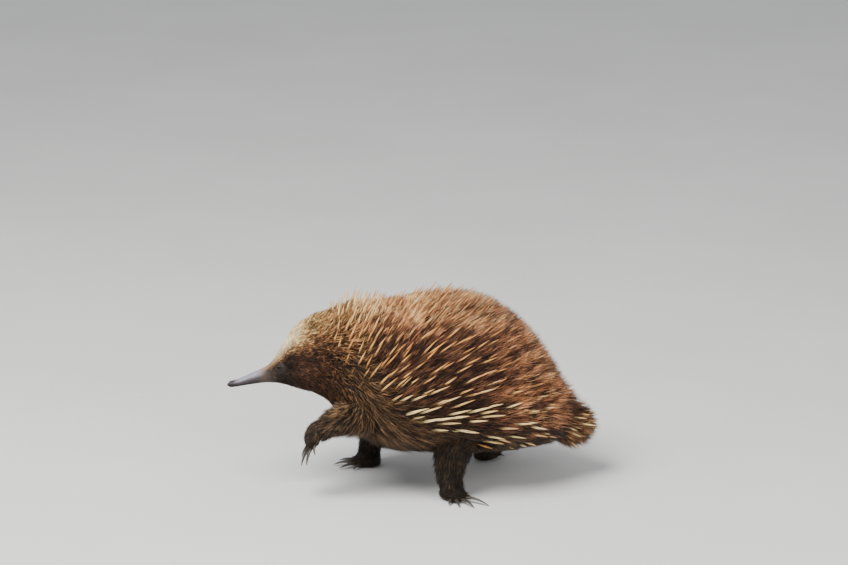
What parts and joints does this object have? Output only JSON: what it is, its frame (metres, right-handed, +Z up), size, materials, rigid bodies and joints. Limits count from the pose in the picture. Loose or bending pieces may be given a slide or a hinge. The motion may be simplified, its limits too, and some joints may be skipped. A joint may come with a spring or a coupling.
{
  "type": "echidna",
  "caption": "Life-size still model of a walking short-beaked echidna with a long bare beak, a deep coat, spines and raised forepaw.",
  "frame": {"origin": "on the floor, under the middle of the animal's bounding box", "axes": "-X the way the beak points, -Y the animal's left side, +Z up"},
  "size_m": [0.444, 0.2288, 0.2429],
  "materials": {
    "beak_skin": "satin",
    "face_fur": "matte",
    "neck_fur": "matte",
    "spined_coat": "matte",
    "leg_fur": "matte",
    "eye": "gloss",
    "claw_horn": "satin"
  },
  "bodies": {
    "root": {"beak": "beak_skin", "head": "face_fur", "neck": "neck_fur", "trunk_front": "spined_coat", "trunk_rear": "spined_coat", "tail": "spined_coat", "leg_fore_left": "leg_fur", "leg_fore_right": "leg_fur", "leg_hind_left": "leg_fur", "leg_hind_right": "leg_fur", "eye_left": "eye", "eye_right": "eye", "claw_fore_left_1": "claw_horn", "claw_fore_left_2": "claw_horn", "claw_fore_left_3": "claw_horn", "claw_fore_left_4": "claw_horn", "claw_fore_left_5": "claw_horn", "claw_fore_right_1": "claw_horn", "claw_fore_right_2": "claw_horn", "claw_fore_right_3": "claw_horn", "claw_fore_right_4": "claw_horn", "claw_fore_right_5": "claw_horn", "claw_hind_left_1": "claw_horn", "claw_hind_left_2": "claw_horn", "claw_hind_left_3": "claw_horn", "claw_hind_left_4": "claw_horn", "claw_hind_left_5": "claw_horn", "claw_hind_right_1": "claw_horn", "claw_hind_right_2": "claw_horn", "claw_hind_right_3": "claw_horn", "claw_hind_right_4": "claw_horn", "claw_hind_right_5": "claw_horn"}
  },
  "joints": []
}
